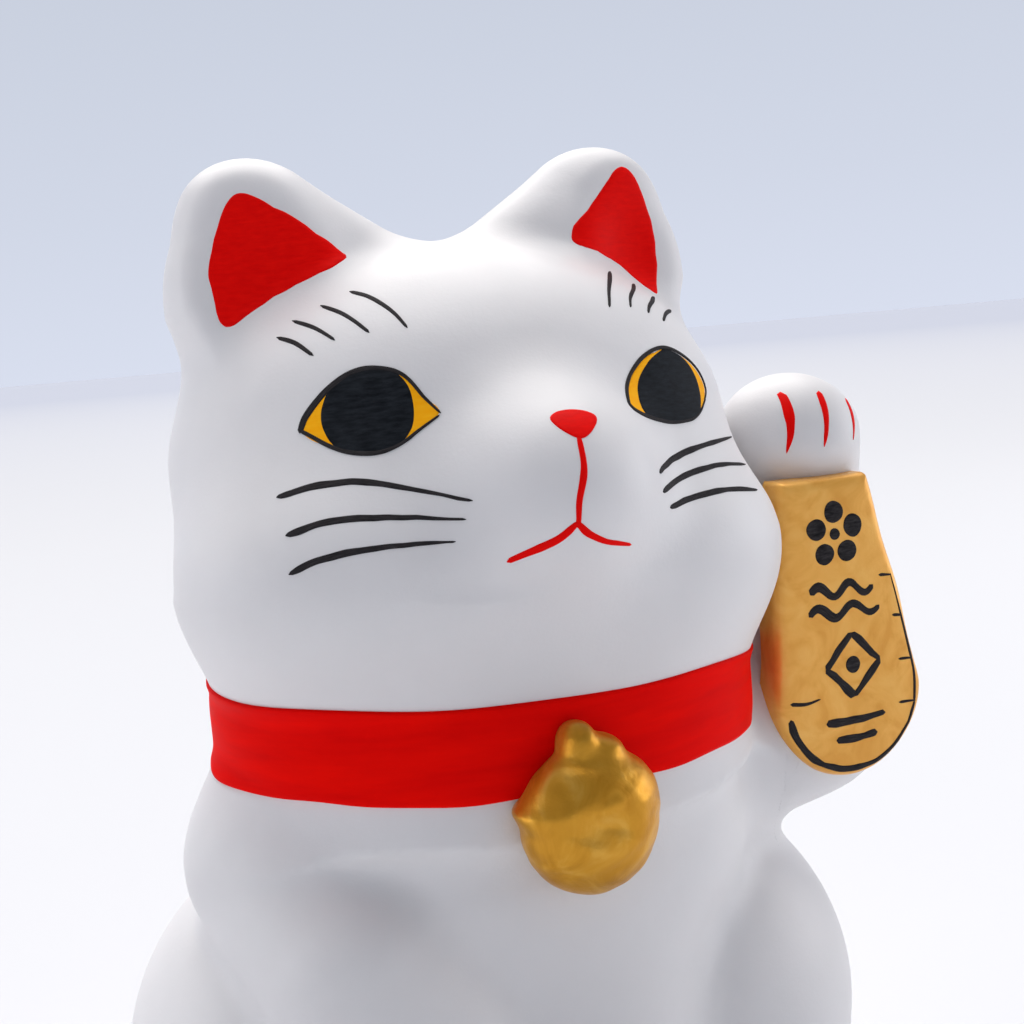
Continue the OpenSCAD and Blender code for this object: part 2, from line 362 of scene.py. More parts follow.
def arm_only_form(p):
    """Raised arm from just inside the torso's side of the seam."""
    return np.maximum(body_form(p), np.maximum(SEAM_X - SEAM_LAP - p[:, 0], 44 - p[:, 2]))


def tail_form(p):
    ball = blob(p, (4, 33.5, 15), (8.6, 8.6, 8.4))
    return np.maximum(join(ball, torso_form(p) + 0.4, 5), torso_form(p) * -1 - 3)


def finish_piece(piece, node, material, body="cat"):
    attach(piece, body)
    if node:
        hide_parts(node)
    piece.data.materials.append(material)


# ---------------------------------------------------------------- painting

RANDOM = np.random.default_rng(7)

# Spacing of the points along a stroke, half width of its thinnest part, and height of its
# hidden underside above the surface
STROKE_STEP = 0.3
THINNEST = 0.03
UNDER = -0.2


def spline(points, spacing=STROKE_STEP, closed=False):
    """Evenly spaced points on a smooth curve through the given ones."""
    points = np.array(points, float)
    if closed:
        padded = np.vstack([points[-1], points, points[0], points[1]])
    else:
        padded = np.vstack([2 * points[0] - points[1], points, 2 * points[-1] - points[-2]])
    dense = []
    for a, b, c, d in zip(padded, padded[1:], padded[2:], padded[3:]):
        t = np.linspace(0, 1, 24, endpoint=False)[:, None]
        bend = 2 * a - 5 * b + 4 * c - d
        dense.append(0.5 * (2 * b + (c - a) * t + bend * t**2 + (3 * b - a - 3 * c + d) * t**3))
    dense = np.vstack(dense + [[points[0] if closed else points[-1]]])
    run = np.r_[0, np.cumsum(np.linalg.norm(np.diff(dense, axis=0), axis=1))]
    count = max(6, int(run[-1] / spacing))
    at = np.linspace(0, run[-1], count + 1)
    even = np.stack([np.interp(at, run, dense[:, i]) for i in range(points.shape[1])], 1)
    return even[:-1] if closed else even


def wobble(count, spacing, size, rough=1.4):
    """Smooth random run of numbers, one each spacing, with bumps about rough long."""
    knots = RANDOM.normal(size=int(count * spacing / rough) + 3)
    return size * np.interp(np.arange(count) * spacing / rough, np.arange(len(knots)), knots)


def cast(form, start, toward):
    """Where rays from the starts first meet a form."""
    p = start.copy()
    for _ in range(70):
        p = p + 0.85 * form(p)[:, None] * toward
    return p


AHEAD = vec(0, 1, 0)


def on_head(flat):
    """Head's surface in front of points given as x and z in the head's own axes."""
    start = from_head(np.stack([flat[:, 0], np.full(len(flat), -60.0), flat[:, 1]], 1))
    return cast(head_form, start, AHEAD @ HEAD_TURN), head_form


def on_arm(flat):
    start = np.stack([flat[:, 0], np.full(len(flat), -60.0), flat[:, 1]], 1)
    return cast(body_form, start, AHEAD), body_form


def raised(place, flat, height):
    """Points lifted off the surface that they are cast on."""
    at, form = place(flat)
    normal = slope(form, at)
    normal /= np.linalg.norm(normal, axis=1)[:, None]
    return at + normal * height[:, None]


def paint_piece(name, points, faces, material, brushing):
    piece = add_mesh(name, points, faces)
    marks = piece.data.attributes.new("brushing", "FLOAT_VECTOR", "POINT")
    marks.data.foreach_set("vector", np.asarray(brushing, float).ravel())
    finish_piece(piece, None, material)
    return piece


def ribbon(place, line, half, thick):
    """Points, faces and brushing coordinates of one closed, crowned stroke of paint."""
    run = np.gradient(line, axis=0)
    run /= np.linalg.norm(run, axis=1)[:, None]
    side = np.stack([-run[:, 1], run[:, 0]], 1)
    across = vec(-1, -1, -0.86, -0.5, 0, 0.5, 0.86, 1, 1)
    height = vec(UNDER, 0, 0.75, 1, 1, 1, 0.75, 0, UNDER)
    height[1:-1] *= thick
    rows, columns = len(line), len(across)
    low, high = half
    reach = np.where(across < 0, low[:, None], high[:, None]) * across
    flat = line[:, None] + side[:, None] * reach[..., None]
    points = raised(place, flat.reshape(-1, 2), np.tile(height, rows))
    along = np.linalg.norm(np.diff(line, axis=0), axis=1)
    along = np.r_[0, np.cumsum(along)]
    brushing = np.stack([np.repeat(along, columns), np.tile(across, rows), np.zeros(rows * columns)], 1)
    faces = []
    for i in range(rows - 1):
        for j in range(columns):
            k = (j + 1) % columns
            faces.append([i * columns + j, i * columns + k, (i + 1) * columns + k, (i + 1) * columns + j])
    faces.append([j for j in range(columns - 1, -1, -1)])
    faces.append([(rows - 1) * columns + j for j in range(columns)])
    return points, faces, brushing


def combine(parts):
    """One mesh of several, given as points, faces and brushing coordinates."""
    points, faces, brushing = [], [], []
    count = 0
    for some_points, some_faces, some_brushing in parts:
        faces += [[count + i for i in face] for face in some_faces]
        points.append(some_points)
        brushing.append(some_brushing)
        count += len(some_points)
    return np.vstack(points), faces, np.vstack(brushing)


def stroke(place, points, width, start=0.35, end=0.1, thick=0.07, ragged=0.05):
    """A brush stroke: start and end are its widths there, as shares of its full width."""
    line = spline(points)
    t = np.linspace(0, 1, len(line))
    length = len(line) * STROKE_STEP
    swell = np.minimum(start + (1 - start) * np.sqrt(np.clip(t * length / (1.5 * width), 0, 1)), 1)
    fade = end + (1 - end) * np.clip((1 - t) / 0.6, 0, 1) ** 0.7
    half = width / 2 * swell * fade
    from_tip = np.minimum(t, 1 - t) * length / (0.5 * half + 0.05)
    round_end = np.sqrt(np.clip(1 - (1 - from_tip).clip(0, 1) ** 2, 0.02, 1))
    half = half * round_end
    sides = []
    for _ in range(2):
        uneven = wobble(len(line), STROKE_STEP, ragged * min(1, width))
        sides.append(np.maximum(half + uneven * round_end, THINNEST))
    return ribbon(place, line, sides, thick)


def patch(place, outline, thick=0.06, ragged=0.04, spacing=STROKE_STEP):
    """A filled shape of paint with a slightly uneven edge."""
    edge = spline(outline, spacing, closed=True)
    middle = edge.mean(0)
    count = len(edge)
    uneven = wobble(count, spacing, ragged)
    uneven = uneven * np.minimum(1, np.minimum(np.arange(count), count - np.arange(count)) / 6)
    away = edge - middle
    edge = edge + away / np.linalg.norm(away, axis=1)[:, None] * uneven[:, None]
    inner = np.linspace(0.1, 0.84, 9)
    shares = np.r_[inner, 1, 1, 0.975, 0.92, inner[::-1]]
    heights = np.r_[np.full(len(inner) + 1, UNDER), 0, 0.75 * thick, np.full(len(inner) + 1, thick)]
    flat = np.vstack([middle + share * (edge - middle) for share in shares] + [[middle, middle]])
    points = raised(place, flat, np.r_[np.repeat(heights, count), UNDER, thick])
    rings = len(shares)
    centre = rings * count
    faces = []
    for i in range(count):
        k = (i + 1) % count
        for j in range(rings - 1):
            low, high = j * count, (j + 1) * count
            faces.append([low + i, low + k, high + k, high + i])
        faces.append([k, i, centre])
        faces.append([(rings - 1) * count + i, (rings - 1) * count + k, centre + 1])
    brushing = np.stack([flat[:, 0], flat[:, 1] * 0.4, np.zeros(len(flat))], 1)
    return points, faces, brushing


# ---------------------------------------------------------------- materials

class Nodes:
    """Short way to build a material's nodes."""

    def __init__(self, name):
        self.material = bpy.data.materials.new(name)
        self.material.use_nodes = True
        self.tree = self.material.node_tree
        self.shader = self.tree.nodes["Principled BSDF"]

    def add(self, kind, **settings):
        node = self.tree.nodes.new(kind)
        for key, value in settings.items():
            setattr(node, key, value)
        return node

    def link(self, out, into):
        self.tree.links.new(out, into)

    def place(self, name=None):
        """Object coordinates, or a named attribute of the mesh."""
        if name:
            return self.add("ShaderNodeAttribute", attribute_name=name).outputs["Vector"]
        return self.add("ShaderNodeTexCoord").outputs["Object"]

    def stretched(self, vector, scale):
        node = self.add("ShaderNodeMapping")
        node.inputs["Scale"].default_value = scale
        self.link(vector, node.inputs["Vector"])
        return node.outputs["Vector"]

    def noise(self, vector, scale, detail=4.0, rough=0.55):
        node = self.add("ShaderNodeTexNoise")
        node.inputs["Scale"].default_value = scale
        node.inputs["Detail"].default_value = detail
        node.inputs["Roughness"].default_value = rough
        self.link(vector, node.inputs["Vector"])
        return node.outputs["Fac"]

    def pits(self, vector, scale, size):
        """1 in the middle of scattered round pits, 0 elsewhere; size is a share of a cell."""
        node = self.add("ShaderNodeTexVoronoi")
        node.inputs["Scale"].default_value = scale
        self.link(vector, node.inputs["Vector"])
        near = self.spread(node.outputs["Distance"], size, 0, 0, 1)
        some = self.add("ShaderNodeSeparateColor")
        self.link(node.outputs["Color"], some.inputs["Color"])
        chosen = self.spread(some.outputs["Red"], 0.72, 0.8, 0, 1)
        return self.math("MULTIPLY", near, chosen)

    def spread(self, value, from_low, from_high, to_low, to_high):
        node = self.add("ShaderNodeMapRange")
        limits = {"From Min": from_low, "From Max": from_high, "To Min": to_low, "To Max": to_high}
        for key, number in limits.items():
            node.inputs[key].default_value = number
        self.link(value, node.inputs["Value"])
        return node.outputs["Result"]

    def math(self, operation, a, b):
        node = self.add("ShaderNodeMath", operation=operation)
        for socket, value in zip(node.inputs, (a, b)):
            if isinstance(value, (int, float)):
                socket.default_value = value
            else:
                self.link(value, socket)
        return node.outputs[0]

    def colours(self, value, *stops):
        """Colour ramp: stops are (place, colour)."""
        node = self.add("ShaderNodeValToRGB")
        ramp = node.color_ramp.elements
        while len(ramp) < len(stops):
            ramp.new(0.5)
        for element, (place, colour) in zip(ramp, stops):
            element.position = place
            element.color = (*colour, 1)
        self.link(value, node.inputs["Fac"])
        self.link(node.outputs["Color"], self.shader.inputs["Base Color"])

    def bump(self, height, distance, strength=1.0, under=None):
        node = self.add("ShaderNodeBump")
        node.inputs["Strength"].default_value = strength
        node.inputs["Distance"].default_value = distance * MM
        self.link(height, node.inputs["Height"])
        if under:
            self.link(under, node.inputs["Normal"])
        return node.outputs["Normal"]

    def done(self, normal=None, **sockets):
        if normal:
            self.link(normal, self.shader.inputs["Normal"])
        for key, value in sockets.items():
            self.shader.inputs[key.replace("_", " ")].default_value = value
        return self.material


def ceramic_material():
    """Matt white slip: faint mottling, powdery grain and scattered pinholes."""
    n = Nodes("white_ceramic")
    here = n.place()
    n.colours(n.noise(here, 60, 3), (0.3, (0.71, 0.698, 0.705)), (0.7, (0.75, 0.738, 0.745)))
    grain = n.bump(n.noise(here, 2600, 3), 0.035, 0.5)
    waves = n.bump(n.noise(here, 260, 2), 0.12, 0.35, grain)
    pinholes = n.bump(n.pits(here, 260, 0.10), 0.12, -1.0, waves)
    n.link(n.spread(n.noise(here, 120, 3), 0.3, 0.7, 0.40, 0.52), n.shader.inputs["Roughness"])
    return n.done(
        pinholes,
        Specular_IOR_Level=0.5,
        Subsurface_Weight=0.12,
        Subsurface_Radius=(0.0016, 0.0013, 0.0013),
        Subsurface_Scale=1.0,
    )


def red_material():
    """Matt red laid on with a soft brush, thinner in streaks."""
    n = Nodes("red_paint")
    here = n.place()
    streaks = n.noise(n.stretched(here, (60, 60, 420)), 1, 4)
    n.colours(streaks, (0.3, (0.74, 0.001, 0.001)), (0.7, (0.90, 0.003, 0.001)))
    fine = n.bump(n.noise(here, 2400, 3), 0.03, 0.5)
    brushed = n.bump(streaks, 0.06, 0.6, fine)
    n.link(n.spread(streaks, 0.3, 0.7, 0.48, 0.62), n.shader.inputs["Roughness"])
    return n.done(brushed, Specular_IOR_Level=0.02)


def stroke_material(name, thin, full, roughness):
    """Paint whose streaks run along the stroke and break up where the brush ran dry."""
    n = Nodes(name)
    along = n.place("brushing")
    streaks = n.noise(n.stretched(along, (0.35, 3.2, 1)), 1.6, 5, 0.65)
    n.colours(streaks, (0.34, full), (0.74, thin))
    fine = n.bump(n.noise(n.place(), 3000, 2), 0.02, 0.5)
    brushed = n.bump(streaks, 0.05, 0.7, fine)
    n.link(n.spread(streaks, 0.3, 0.7, roughness - 0.06, roughness + 0.1), n.shader.inputs["Roughness"])
    return n.done(brushed, Specular_IOR_Level=0.04)


def gold_material(name, dark, middle, bright, metallic):
    """Satin gold paint, with swirled brush marks and small crumbs of pigment."""
    n = Nodes(name)
    here = n.place()
    swirl = n.add("ShaderNodeTexNoise")
    swirl.inputs["Scale"].default_value = 190
    swirl.inputs["Detail"].default_value = 5
    swirl.inputs["Distortion"].default_value = 1.6
    n.link(here, swirl.inputs["Vector"])
    n.colours(swirl.outputs["Fac"], (0.3, dark), (0.52, middle), (0.75, bright))
    fine = n.bump(n.noise(here, 2200, 4), 0.05, 0.7)
    brushed = n.bump(swirl.outputs["Fac"], 0.16, 0.5, fine)
    n.link(n.spread(n.noise(here, 500, 3), 0.3, 0.7, 0.28, 0.44), n.shader.inputs["Roughness"])
    return n.done(brushed, Metallic=metallic, Specular_IOR_Level=0.3)


def vinyl_material():
    """Soft milky vinyl with a fine mould texture."""
    n = Nodes("soft_vinyl")
    here = n.place()
    n.colours(n.noise(here, 90, 3), (0.3, (0.74, 0.735, 0.70)), (0.7, (0.80, 0.795, 0.765)))
    fine = n.bump(n.noise(here, 1800, 3), 0.03, 0.6)
    n.link(n.spread(n.noise(here, 150, 2), 0.3, 0.7, 0.42, 0.55), n.shader.inputs["Roughness"])
    return n.done(
        fine,
        Specular_IOR_Level=0.45,
        Subsurface_Weight=0.3,
        Subsurface_Radius=(0.003, 0.0026, 0.002),
        Subsurface_Scale=1.0,
    )


CERAMIC = ceramic_material()
RED = red_material()
RED_INK = stroke_material("red_brush", (0.88, 0.004, 0.002), (0.76, 0.001, 0.001), 0.5)
BLACK_INK = stroke_material("ink_brush", (0.055, 0.05, 0.052), (0.010, 0.0095, 0.011), 0.5)
PUPIL_INK = stroke_material("pupil_ink", (0.022, 0.026, 0.032), (0.006, 0.0075, 0.010), 0.55)
YELLOW = stroke_material("eye_yellow", (1.0, 0.48, 0.012), (0.98, 0.40, 0.004), 0.5)
GOLD = gold_material("gold_paint", (0.52, 0.23, 0.012), (0.63, 0.30, 0.025), (0.76, 0.42, 0.07), 0.6)
PLAQUE_GOLD = gold_material("gold_wash", (0.76, 0.35, 0.055), (0.85, 0.43, 0.085), (0.90, 0.50, 0.12), 0.3)
VINYL = vinyl_material()


# ---------------------------------------------------------------- the white castings

def make_torso():
    piece = add_form("torso", torso_shell_form, (-52, -46, -1.5), (51, 38, 73), 1.3)
    finish_piece(piece, "torso_shell", CERAMIC)


def make_head():
    piece = add_form("head", head_form, (-40, -45, 57), (40, 36, 143), 1.1)
    finish_piece(piece, "head_shell", CERAMIC)


def make_arm():
    piece = add_form("arm", arm_only_form, (34, -18, 43), (62, 14, 110), 1.0)
    finish_piece(piece, "raised_arm", CERAMIC)


def make_tail():
    piece = add_form("bob_tail", tail_form, (-10, 20, 0.5), (18, 44, 29), 0.9)
    finish_piece(piece, "tail", CERAMIC)


# ---------------------------------------------------------------- collar, bell, plaque, stopper

# How far the collar reaches into the clay, and how far it stands out from it at least
COLLAR_DEPTH = 5.2
COLLAR_PROUD = 0.3


def collar_out(angle, z):
    """Outward reach of the collar's face at an angle round the neck, and a height."""
    low, high = COLLAR_LOW[2], COLLAR_HIGH[2]
    t = (z - low) / (high - low)
    return -0.35 * (2 * t - 1) ** 4 + 0.12 * np.sin(7 * angle + 2) * t * (1 - t) * 4


def near_angle(angle, degrees, width):
    """1 at an angle in degrees, falling away over a width either side."""
    away = (np.degrees(angle) - degrees + 180) % 360 - 180
    return np.exp(-(away / width) ** 2)


def make_collar():
    """Raised band round the neck, with edges that wander as a brush leaves them."""
    turns = 260
    angle = np.linspace(0, 2 * math.pi, turns, endpoint=False)
    lower = 0.15 + 0.15 * np.sin(3 * angle + 0.6) + 0.14 * np.sin(8 * angle + 2)
    lower += 0.07 * np.sin(17 * angle)
    for rise, degrees, width in ((1.6, 195, 38), (3.0, 152, 24), (-1.0, -25, 30)):
        lower += rise * near_angle(angle, degrees, width)
    upper = 0.25 + 0.12 * np.sin(4 * angle + 2.2) + 0.10 * np.sin(9 * angle + 1)
    for drop, degrees, width in ((1.6, -15, 30), (-1.7, 205, 50), (-1.5, 158, 26)):
        upper += drop * near_angle(angle, degrees, width)
    low, high = COLLAR_LOW[2], COLLAR_HIGH[2]
    face = np.linspace(0, 1, 15)
    loops = []
    for i, a in enumerate(angle):
        z = low + lower[i] + (high - low - lower[i] - upper[i]) * face
        out = -0.15 + collar_out(a, z)
        ring = [(-COLLAR_DEPTH, z[0] + 0.5)] + list(zip(out, z)) + [(-COLLAR_DEPTH, z[-1] - 0.5)]
        loops.append([
            ((COLLAR_HALF[0] + d) * math.cos(a), COLLAR_Y + (COLLAR_HALF[1] + d) * math.sin(a), h)
            for d, h in ring
        ])
    columns = len(loops[0])
    loops = np.array(loops)
    # Where the clay comes out past the band, the band is laid over it
    outward = np.stack([np.cos(angle), np.sin(angle), 0 * angle], -1)[:, None]
    for _ in range(8):
        band = loops[:, 1:-1]
        clay = np.minimum(head_form(band.reshape(-1, 3)), torso_form(band.reshape(-1, 3)))
        band += outward * np.clip(COLLAR_PROUD - clay.reshape(turns, -1, 1), 0, 1)
    points = loops.reshape(-1, 3)
    faces = []
    for i in range(turns):
        k = (i + 1) % turns
        for j in range(columns):
            m = (j + 1) % columns
            faces.append([i * columns + j, k * columns + j, k * columns + m, i * columns + m])
    piece = add_mesh("collar", points, faces)
    subdivide(piece)
    finish_piece(piece, "collar_band", RED)


BELL_AT = vec((BELL_LOW[0] + BELL_HIGH[0]) / 2 - AXIS[0], -33, BELL_LOW[2] + 8.3)


def bell_form(p):
    q = p - BELL_AT
    body = blob(q, (0, 0, -0.2), (7.7, 5.9, 7.9))
    crown = join(body, blob(q, (0.9, 0.3, 1.9), (7.1, 5.2, 5.3)), 1.2)
    band = join(crown, blob(q, (-0.9, 0.6, 1.7), (7.3, 5.6, 1.5)), 1.4)
    dent = blob(q, (-1.2, -8.2, 0.6), (5.2, 2.6, 1.5))
    band = common(band, -dent, 2.2)
    tip = blob(q, (-0.5, 0.6, 8.3), (2.0, 3.2, 2.3))
    loop = join(tip, blob(q, (2.0, 0.6, 7.4), (2.2, 3.0, 1.3)), 1.5)
    whole = join(band, loop, 1.6)
    lumps = 0.05 * np.sin(q[:, 0] * 1.3 + 2 * np.sin(q[:, 2] * 0.9)) * np.sin(q[:, 2] * 1.6 + 1)
    return np.maximum(whole + lumps, q[:, 1] - 6.5)


def make_bell():
    low = BELL_AT - (9, 7, 9.5)
    high = BELL_AT + (9, 7.5, 12)
    piece = add_form("bell_gold", bell_form, low, high, 0.55)
    finish_piece(piece, "bell", GOLD)


PLAQUE_R = 11.1
PLAQUE_X = PLAQUE_HIGH[0] - AXIS[0] - PLAQUE_R
PLAQUE_FRONT = PLAQUE_LOW[1] - AXIS[1]
PLAQUE_BACK = PLAQUE_HIGH[1] - AXIS[1]
PLAQUE_Z = PLAQUE_LOW[2] + PLAQUE_R
PLAQUE_TOP = PLAQUE_HIGH[2]
PLAQUE_TOP_HALF = 6.5
PLAQUE_LEAN = -2.2


def plaque_share(z):
    """0 at the middle of the round foot, 1 at the straight top."""
    return np.clip((z - PLAQUE_Z) / (PLAQUE_TOP - PLAQUE_Z), 0, 1)


def plaque_half(z):
    return PLAQUE_R + (PLAQUE_TOP_HALF - PLAQUE_R) * plaque_share(z) ** 1.25


def plaque_middle(z):
    return PLAQUE_X + PLAQUE_LEAN * plaque_share(z)


def plaque_plan(x, z):
    """Distance outside the plaque's outline: a round foot that narrows to a straight top."""
    foot = np.hypot(x - PLAQUE_X, z - PLAQUE_Z) - PLAQUE_R
    sides = abs(x - plaque_middle(z)) - plaque_half(z)
    return np.maximum(np.where(z < PLAQUE_Z, foot, sides), z - PLAQUE_TOP)


def plaque_form(p):
    plan = plaque_plan(p[:, 0], p[:, 2]) + 0.15 * np.sin(p[:, 2] * 0.45 + 1)
    slab = PLAQUE_FRONT + 0.1 - p[:, 1] + 0.012 * np.clip(plan + 6, 0, 9) ** 2
    form = -join(-plan, -slab, 1.6)
    return np.maximum(form, p[:, 1] - PLAQUE_BACK - 0.6)


def make_plaque():
    low = (PLAQUE_X - PLAQUE_R - 1, PLAQUE_FRONT - 1, PLAQUE_LOW[2] - 1)
    high = (PLAQUE_X + PLAQUE_R + 1, PLAQUE_BACK + 1.5, PLAQUE_TOP + 1)
    piece = add_form("plaque_gold", plaque_form, low, high, 0.6)
    finish_piece(piece, "plaque", PLAQUE_GOLD)


def stopper_form(p):
    """Flange, hollow plug with two soft ribs, and two finger pockets either side of a grip."""
    out = np.hypot(p[:, 0], p[:, 1])
    flange = common(out - 17.9, abs(p[:, 2] - 1.35) - 0.84, 0.7)
    ribs = 0.12 * np.cos((p[:, 2] - 2.2) * 2.2)
    plug = common(out - 14.7 - ribs, abs(p[:, 2] - 4.6) - 3.6, 1.0)
    cup = np.maximum(out - 12.4, 4.6 - p[:, 2])
    body = common(join(flange, plug, 0.6), -cup, 0.6)
    for side in (-1, 1):
        pocket = np.maximum(np.hypot(p[:, 0] - side * 5.5, p[:, 1]) - 2.5, p[:, 2] - 2.1)
        body = common(body, -pocket, 0.5)
    ring = abs(out - 14.6) - 0.25
    return common(body, -np.maximum(ring, p[:, 2] - 0.75), 0.3)


def make_stopper():
    piece = add_form("stopper", stopper_form, (-19, -19, 0), (19, 19, 9), 0.7)
    finish_piece(piece, "base_stopper", VINYL, "stopper")


# ---------------------------------------------------------------- painted details

def paint(name, parts, material):
    points, faces, brushing = combine(parts)
    paint_piece(name, points, faces, material, brushing)


def paint_ears():
    right = [(-25.6, 34), (-29, 27.5), (-29.3, 22), (-28.2, 19.2), (-23.5, 21.7), (-14.7, 25.4),
             (-15, 27.2), (-21, 32.2)]
    left = [(23.6, 35.6), (19, 31.6), (14.4, 26.5), (20, 23.8), (24.3, 19.8), (25.9, 19.8),
            (27.2, 26), (26.3, 32)]
    for side, outline in (("right", right), ("left", left)):
        paint("ear_red_" + side, [patch(on_head, outline, 0.08, 0.1, 0.4)], RED_INK)


def paint_eyes():
    right = [(-24.3, 6.1), (-22.2, 9), (-19.8, 10.9), (-16.7, 11.8), (-14, 10.7), (-12.2, 8.1),
             (-11.2, 6.3), (-14, 4.4), (-16.6, 3.3), (-19.3, 3.1), (-21.9, 3.9)]
    left = [(10.3, 4.6), (11, 7), (14, 9.7), (17.1, 10.9), (19.4, 11), (22.4, 9.9), (24.4, 8.1),
            (25, 6.2), (23.3, 4.2), (20.7, 2.9), (17.2, 2.6), (12.9, 3.5)]
    right_pupil = [(-22.2, 8.2), (-20.9, 10.4), (-19.2, 11.6), (-17, 11.9), (-14.8, 11.3), (-13.5, 9.7),
                   (-13.4, 7.2), (-14.2, 4.8), (-16.1, 3.3), (-19.3, 2.9), (-21.7, 3.9), (-22.5, 5.9)]
    left_pupil = [(12.7, 7.3), (15.2, 9.7), (18, 11), (19.5, 11.1), (22.1, 10), (23.4, 8.1), (23.6, 5.3),
                  (22, 3.1), (18.6, 2.4), (16.1, 2.5), (13.2, 3.2), (12.0, 4.6)]
    for side, eye, pupil in (("right", right, right_pupil), ("left", left, left_pupil)):
        paint("eye_yellow_" + side, [patch(on_head, eye, 0.05, 0.04, 0.25)], YELLOW)
        paint("eye_pupil_" + side, [patch(on_head, pupil, 0.09, 0.03, 0.25)], PUPIL_INK)
    right_lids = [
        ([(-24.6, 6.0), (-23.5, 7.9), (-21.2, 10.2), (-18.6, 11.7), (-16.2, 11.9), (-13.8, 10.8),
          (-12.3, 8.2), (-11.1, 6.2)], 0.62),
        ([(-24.5, 6.3), (-22.2, 4.2), (-20.3, 3.2), (-17.8, 2.9), (-15.6, 3.5), (-13.4, 4.8),
          (-11.3, 6.0)], 0.5),
    ]
    left_lids = [
        ([(9.9, 4.8), (11.1, 7.3), (13.6, 9.6), (16.6, 11), (19.4, 11.3), (22.4, 10.2),
          (24.6, 8.4), (25.2, 6.2), (24.1, 4.7)], 0.5),
        ([(9.9, 5.2), (10.6, 4.3), (13, 3.4), (16.6, 2.6), (20.1, 2.6), (22.4, 3.4),
          (24.4, 4.9)], 0.45),
    ]
    for side, lids in (("right", right_lids), ("left", left_lids)):
        parts = [stroke(on_head, line, width, 0.8, 0.35, 0.12, 0.03) for line, width in lids]
        paint("eye_line_" + side, parts, BLACK_INK)


def paint_brows():
    right = [
        [(-15.6, 21.3), (-14.1, 20.2), (-12.7, 18.1), (-11.9, 15.9)],
        [(-18.9, 20.1), (-17.2, 18.4), (-15.7, 15.9)],
        [(-22, 18.8), (-20.4, 17.4), (-19.1, 15.6)],
        [(-24, 17.1), (-22.7, 16), (-21.5, 14.2)],
    ]
    left = [
        [(18, 21.9), (14.6, 19.1), (12.7, 16.5)],
        [(21.6, 20.3), (17.7, 18.1), (16.2, 16.5)],
        [(24.3, 18.6), (20.6, 17), (19, 15.8)],
        [(26.4, 16.8), (23.2, 15.9), (21.3, 14.8)],
    ]
    for side, lines in (("right", right), ("left", left)):
        parts = [stroke(on_head, line, 0.55, 0.5, 0.6, 0.07, 0.04) for line in lines]
        paint("brow_" + side, parts, BLACK_INK)


def paint_whiskers():
    right = [
        [(-28.2, -0.4), (-24.2, 0.3), (-19.7, 0), (-14.8, -1.6), (-10.7, -3.2)],
        [(-28.4, -4.4), (-24.2, -3.5), (-17.9, -3.9), (-11.5, -5)],
        [(-28.8, -8.3), (-25.8, -7.2), (-20.2, -6.7), (-12.7, -7.1)],
    ]
    left = [
        [(10.6, -2.8), (15.6, -1.4), (22.3, -0.3), (29.2, 0.2)],
        [(10.7, -4.9), (16.4, -3.5), (22.4, -2.9), (29.1, -3.3)],
        [(11.9, -6.7), (17.4, -5.9), (22.7, -5.8), (28.2, -6.4)],
    ]
    for side, lines in (("right", right), ("left", left)):
        parts = [stroke(on_head, line, 0.72, 0.3, 0.35, 0.07, 0.05) for line in lines]
        paint("whiskers_" + side, parts, BLACK_INK)


def paint_muzzle():
    nose = [(-2.1, 4.0), (-1.2, 4.7), (0.6, 4.8), (2.3, 4.4), (3.0, 3.6), (1.7, 2.3), (0.1, 1.7),
            (-1.4, 2.7)]
    # Lines down from the nose and to either side, each with its width and its two end shares
    lines = [
        ([(0, 2.0), (-0.5, -1.5), (-1.4, -4.4), (-1.7, -7.2)], 0.75, 0.4, 0.75),
        ([(-1.6, -6.6), (-3.4, -8.0), (-5.6, -8.9), (-8.1, -9.8)], 0.8, 0.4, 0.7),
        ([(-1.8, -6.6), (-0.4, -8.0), (1.9, -9.1), (5.1, -9.8)], 0.7, 0.5, 0.3),
    ]
    parts = [patch(on_head, nose, 0.1, 0.03, 0.2)]
    parts += [stroke(on_head, line, *widths, 0.08, 0.05) for line, *widths in lines]
    paint("nose_and_mouth", parts, RED_INK)


def paint_claws():
    lines = [
        ([(41.6, 104.8), (41.0, 101.2), (40.2, 97.1)], 1.15),
        ([(46.3, 104.5), (45.7, 101.2), (44.8, 97.5)], 1.0),
        ([(51.1, 103.1), (50.8, 100.6), (50.1, 97.8)], 0.8),
    ]
    parts = [stroke(on_arm, line, width, 0.6, 0.1, 0.07, 0.05) for line, width in lines]
    paint("claws", parts, RED_INK)


def on_plaque(flat):
    start = np.stack([flat[:, 0], np.full(len(flat), -30.0), flat[:, 1]], 1)
    return cast(plaque_form, start, AHEAD), plaque_form


def on_rim(height, inset):
    """Point inside the plaque's +X edge at a height above the foot's middle."""
    z = PLAQUE_Z + height
    if height < 0:
        return PLAQUE_X + math.sqrt((PLAQUE_R - inset) ** 2 - height**2), z
    return float(plaque_middle(z) + plaque_half(z) - inset), z


